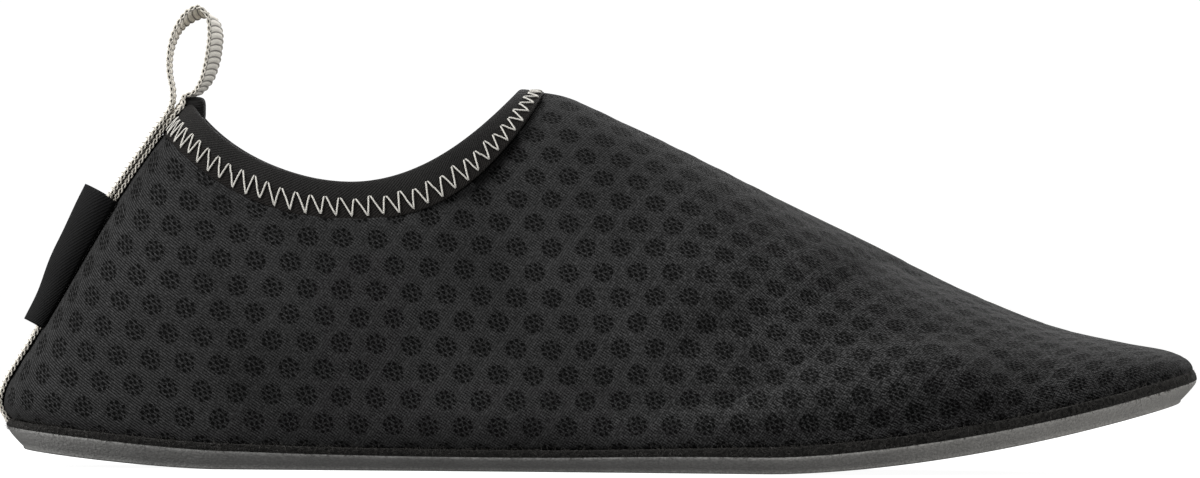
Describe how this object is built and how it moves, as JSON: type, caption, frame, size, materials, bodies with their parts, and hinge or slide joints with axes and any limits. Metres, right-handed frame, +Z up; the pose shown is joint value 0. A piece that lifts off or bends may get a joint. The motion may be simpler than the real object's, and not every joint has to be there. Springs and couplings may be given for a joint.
{
  "type": "water shoe",
  "caption": "Low slip-on water shoe: soft perforated mesh upper, elastic collar, ribbed pull loop and sleeve tab at the heel, thin flat rubber sole.",
  "frame": {"origin": "on the floor, under the middle of the shoe's bounding box", "axes": "+X towards the toe, +Y towards the inner side of the foot (a right shoe), +Z up"},
  "size_m": [0.2626, 0.0919, 0.101],
  "materials": {
    "sole_rubber": "smooth matte grey rubber",
    "felt": "felted dark fibre with a cut edge",
    "footbed": "textile-faced foam",
    "mesh": "knitted spacer mesh, ribbed, with clusters of pinholes",
    "elastic": "soft fine-twill elastic with a pale zigzag seam",
    "tape": "ribbed taupe grosgrain tape",
    "twill": "black textile, bare of any label"
  },
  "bodies": {
    "root": {"outsole": "sole_rubber", "felt_midsole": "felt", "insole": "footbed", "upper": "mesh", "collar_binding": "elastic", "heel_loop_tape": "tape", "heel_tab": "twill"}
  },
  "joints": []
}
